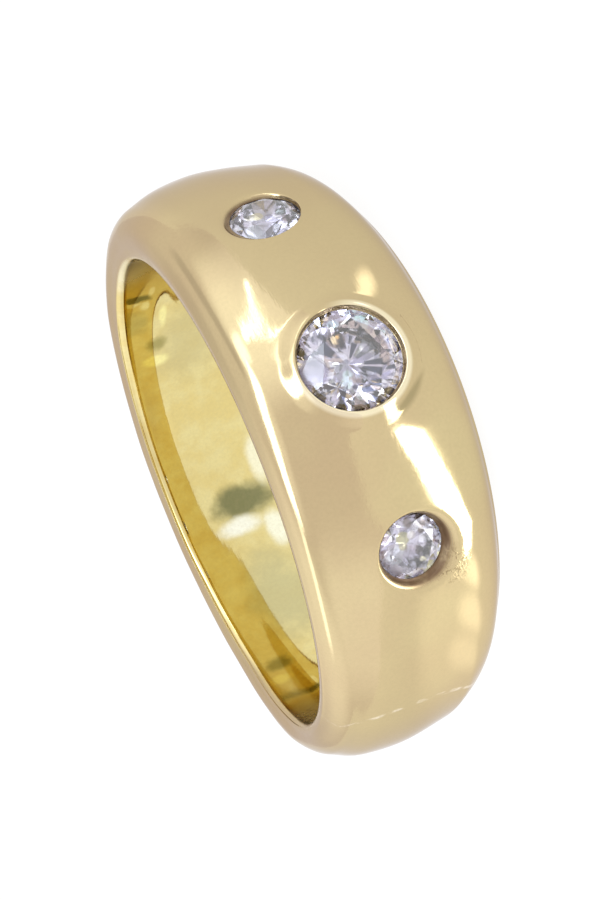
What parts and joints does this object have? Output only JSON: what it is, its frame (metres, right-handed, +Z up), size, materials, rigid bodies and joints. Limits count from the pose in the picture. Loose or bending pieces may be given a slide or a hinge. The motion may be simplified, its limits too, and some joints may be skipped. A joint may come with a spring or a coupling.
{
  "type": "flush-set three-stone diamond ring",
  "caption": "Wide domed gold finger ring that narrows towards the back, with round diamonds sunk flush into its front. It lies on its side.",
  "frame": {"origin": "on the surface that the ring lies on, under the middle of the band", "axes": "+Z up from that surface, -Y out of the front through the centre stone, +X to the right seen from the front; the finger hole's axis leans 4.16 degrees from +Z towards +Y"},
  "size_m": [0.0208, 0.0212, 0.0076],
  "materials": {
    "gold": "satin polish",
    "diamond": "polished facets"
  },
  "bodies": {
    "root": {"band": "gold", "centre_diamond": "diamond", "right_diamond": "diamond", "left_diamond": "diamond"}
  },
  "joints": []
}
